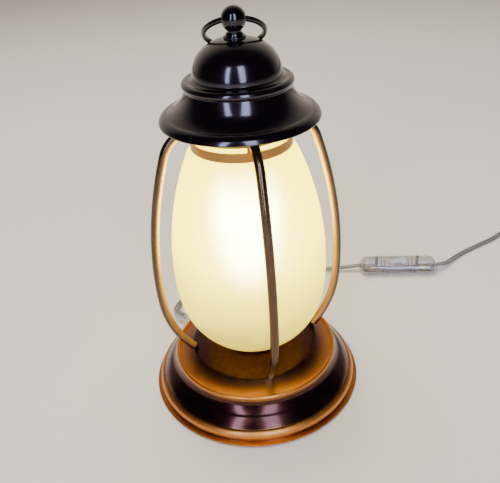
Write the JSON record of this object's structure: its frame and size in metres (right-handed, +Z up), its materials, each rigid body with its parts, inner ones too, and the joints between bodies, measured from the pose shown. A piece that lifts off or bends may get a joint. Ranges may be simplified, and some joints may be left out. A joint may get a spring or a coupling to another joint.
{
  "type": "table lantern",
  "caption": "Electric table lantern with a round stepped base, bowed tube arms, a frosted glass egg, a bell hood with a carrying ring, and a cord with an in-line switch and plug.",
  "frame": {"origin": "centre of the face that the lantern stands on, on the lantern's axis", "axes": "+Z up along the axis from the base to the finial, -Y towards the front, +X to the right as seen from the front"},
  "size_m": [0.4268, 0.28, 0.2774],
  "materials": {
    "base_copper": "glossy antique copper lacquer, dark maroon with bright copper edges",
    "hood_copper": "glossy antique copper lacquer, near black",
    "dark_copper": "glossy dark antique copper",
    "frame_bronze": "antique bronze, polished on the inner side",
    "gallery_copper": "bright copper",
    "plate_steel": "black paint",
    "felt": "dark felt",
    "ballast": "raw casting",
    "frosted_glass": "frosted inside, smooth outside",
    "bulb_glass": "opal",
    "bulb_metal": "satin",
    "gasket": "matt",
    "lampholder": "moulded",
    "contact_brass": "bright",
    "clear_cord": "clear flexible plastic over two bright strands",
    "clear_shell": "clear moulding",
    "rocker_plastic": "clear moulding",
    "clear_plug": "clear moulding",
    "tie_plastic": "moulded",
    "plain_steel": "turned",
    "tube_brass": "threaded"
  },
  "bodies": {
    "lantern": {"base_shell": "base_copper", "base_plate": "plate_steel", "felt_ring": "felt", "ballast_ring": "ballast", "centre_tube": "tube_brass", "base_washer": "plain_steel", "base_nut": "plain_steel", "seat_washer": "plain_steel", "seat_nut": "plain_steel", "seat_cup": "base_copper", "seat_gasket": "gasket", "glass_shade": "frosted_glass", "socket_cap": "lampholder", "socket_shell": "lampholder", "socket_insert": "lampholder", "socket_thread": "contact_brass", "socket_contact": "contact_brass", "bulb_cap": "bulb_metal", "bulb_envelope": "bulb_glass", "arm_front": "frame_bronze", "arm_foot_front": "frame_bronze", "arm_right": "frame_bronze", "arm_foot_right": "frame_bronze", "arm_back": "frame_bronze", "arm_foot_back": "frame_bronze", "arm_left": "frame_bronze", "arm_foot_left": "frame_bronze", "foot_nuts": "plain_steel", "crown_ring": "frame_bronze", "arm_studs": "plain_steel", "gallery": "gallery_copper", "crossbar": "plain_steel", "gallery_screws": "plain_steel", "crossbar_screws": "plain_steel", "hood_stud": "plain_steel", "crossbar_nut": "plain_steel", "hood_nut": "plain_steel", "hood": "hood_copper", "finial": "dark_copper", "inner_lead": "clear_cord", "cord_gland": "clear_cord", "cord_lamp_side": "clear_cord", "cord_plug_side": "clear_cord", "cord_coil": "clear_cord", "coil_tie": "tie_plastic", "cord_tail": "clear_cord", "switch_base": "clear_shell", "switch_cover": "clear_shell", "switch_screws": "plain_steel", "switch_terminals": "contact_brass", "switch_contact": "contact_brass", "plug_body": "clear_plug", "plug_pins": "contact_brass"},
    "ring": {"carrying_ring": "dark_copper"},
    "rocker": {"switch_rocker": "rocker_plastic"}
  },
  "joints": [
    {"name": "ring_swing", "type": "hinge", "parent": "lantern", "child": "ring", "pos_m": [0, 0, 0.26987], "axis": [1, 0, 0], "range_deg": [0, 254]},
    {"name": "switch_rock", "type": "hinge", "parent": "lantern", "child": "rocker", "pos_m": [0.1445, 0.1245, 0.009], "axis": [0.0958, 0.9954, 0], "range_deg": [0, 16]}
  ]
}
